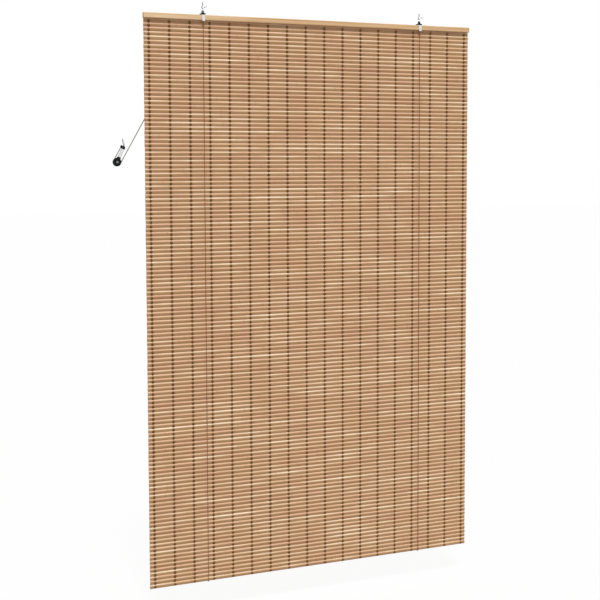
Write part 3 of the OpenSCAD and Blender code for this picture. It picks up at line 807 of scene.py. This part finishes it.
def thread_ridge(name, finish, base, axis, r, straight, point, pitch):
    """A screw's thread, wound on the plain shank of the solid and running out on its point."""
    axis = axis.normalized()
    u = axis.orthogonal().normalized()
    v = axis.cross(u)
    length = straight + POINT_SHARE * point
    n = int(length / pitch * RIDGE_STEPS)
    path = []
    radii = []
    for i in range(n + 1):
        h = length * i / n
        a = 2 * math.pi * i / RIDGE_STEPS
        shank_r = r if h < straight else r * (1 - (h - straight) / point)
        path.append(base + axis * h + (u * math.cos(a) + v * math.sin(a)) * shank_r)
        from_end = min(i, n - i) + 1
        radii.append(RIDGE_SHARE * pitch * min(1, from_end / RIDGE_STEPS))
    obj = mesh_object(name, *tube(path, radii, sides=6), smooth_angle=60)
    place(obj, MATERIALS[finish])


def threads_on_screws():
    """The threads of the two hooks and of the tensioner's fixing screw."""
    for side in ("left", "right"):
        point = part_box("screw_hook_" + side)[1].z - HOOK_SHANK_L
        base = Vector((middle("pulley_" + side).x, 0, HOOK_START))
        straight = HOOK_SHANK_L - HOOK_START
        name = "hook_thread_" + side
        thread_ridge(name, "dull_steel", base, Z, HOOK_SHANK_R, straight, point, HOOK_PITCH)
    mount = next(m for m in frame["record"]["mounts"] if m["name"] == "tensioner_screw")
    axis = Vector(mount["axis"])
    length = mount["dims"]["length_mm"] * MM
    r = mount["dims"]["r_mm"] * MM
    base = Vector(mount["pos_m"]) - axis * (length / 2 - FIX_START)
    thread_ridge("fixing_thread", "steel", base, axis, r, length - FIX_START, FIX_POINT_L, FIX_PITCH)


slat_mat()
woven_threads()
cords()
cord_knot("knot_left", LEFT_WHEEL.x, "cord_knot_left")
cord_knot("knot_right", RIGHT_WHEEL.x, "cord_knot_right")
screws()
threads_on_screws()


# Camera, light and ground, with turns and widths in degrees
CAMERA_AT = (-1.9766, -4.4083, -0.6034)
CAMERA_TURN = (85.859, 0.181, -23.424)
SENSOR_W = 36
LENS = 72.634
SHIFT_Y = -0.08
SIGHT = 60
WHITE = (1.0, 1.0, 1.0, 1.0)
SOFT_WHITE = (1.0, 0.99, 0.98, 1.0)
SOFT_LIGHT = 0.36
FLOOR_DROP = 0.12
FLOOR_HALF = 40
FLOOR_GREY = 0.5
FLOOR_GLOW = 1.035
GLOW_SHARE = 0.9


def camera():
    """The photograph's camera."""
    cam = bpy.data.objects.new("camera", bpy.data.cameras.new("camera"))
    bpy.context.scene.collection.objects.link(cam)
    cam.location = CAMERA_AT
    cam.rotation_euler = [math.radians(a) for a in CAMERA_TURN]
    cam.data.sensor_width = SENSOR_W
    cam.data.lens = LENS
    cam.data.shift_y = SHIFT_Y
    cam.data.clip_end = SIGHT
    bpy.context.scene.camera = cam


def sun(name, toward, energy, angle):
    """A distant lamp in the direction given, so many degrees wide."""
    lamp = bpy.data.objects.new(name, bpy.data.lights.new(name, "SUN"))
    bpy.context.scene.collection.objects.link(lamp)
    lamp.data.energy = energy
    lamp.data.angle = math.radians(angle)
    lamp.rotation_euler = Vector(toward).to_track_quat("Z", "Y").to_euler()


def seen_directly(tree):
    """1 for rays that show what they hit to the camera, 0 for rays that only gather light."""
    rays = tree.nodes.new("ShaderNodeLightPath").outputs
    seen = rays["Is Camera Ray"]
    for other in ("Is Glossy Ray", "Is Transmission Ray"):
        either = tree.nodes.new("ShaderNodeMath")
        either.operation = "MAXIMUM"
        tree.links.new(seen, either.inputs[0])
        tree.links.new(rays[other], either.inputs[1])
        seen = either.outputs[0]
    return seen


def two_ways(tree, factor, a, b, output):
    """Mixes two shaders by a factor and links the result to a new output."""
    mix = tree.nodes.new("ShaderNodeMixShader")
    tree.links.new(factor, mix.inputs[0])
    tree.links.new(a.outputs[0], mix.inputs[1])
    tree.links.new(b.outputs[0], mix.inputs[2])
    tree.links.new(mix.outputs[0], tree.nodes.new(output).inputs[0])


def surroundings():
    """Soft light from all round, and a white background."""
    world = bpy.data.worlds.new("studio")
    bpy.context.scene.world = world
    world.use_nodes = True
    tree = world.node_tree
    tree.nodes.clear()
    soft = tree.nodes.new("ShaderNodeBackground")
    soft.inputs["Color"].default_value = SOFT_WHITE
    soft.inputs["Strength"].default_value = SOFT_LIGHT
    white = tree.nodes.new("ShaderNodeBackground")
    white.inputs["Color"].default_value = WHITE
    white.inputs["Strength"].default_value = 1.0
    two_ways(tree, seen_directly(tree), soft, white, "ShaderNodeOutputWorld")


def ground():
    """A pale floor below the blind that keeps its shadow."""
    z = mat_lo.z - FLOOR_DROP
    corners = [(FLOOR_HALF * x, FLOOR_HALF * y, z) for x, y in ((-1, -1), (1, -1), (1, 1), (-1, 1))]
    obj = mesh_object("floor", corners, [(0, 1, 2, 3)])
    material = bpy.data.materials.new("floor")
    material.use_nodes = True
    tree = material.node_tree
    tree.nodes.clear()
    matt = tree.nodes.new("ShaderNodeBsdfDiffuse")
    matt.inputs["Color"].default_value = (FLOOR_GREY, FLOOR_GREY, FLOOR_GREY, 1.0)
    glow = tree.nodes.new("ShaderNodeEmission")
    glow.inputs["Strength"].default_value = FLOOR_GLOW
    share = tree.nodes.new("ShaderNodeMath")
    share.operation = "MULTIPLY"
    share.inputs[1].default_value = GLOW_SHARE
    tree.links.new(seen_directly(tree), share.inputs[0])
    two_ways(tree, share.outputs[0], matt, glow, "ShaderNodeOutputMaterial")
    obj.data.materials.append(material)


camera()
sun("key", toward=(-0.12, -0.50, 0.86), energy=2.6, angle=13)
sun("fill", toward=(0.40, 0.75, 0.53), energy=1.0, angle=40)
surroundings()
ground()
bpy.context.scene.view_settings.view_transform = "Standard"
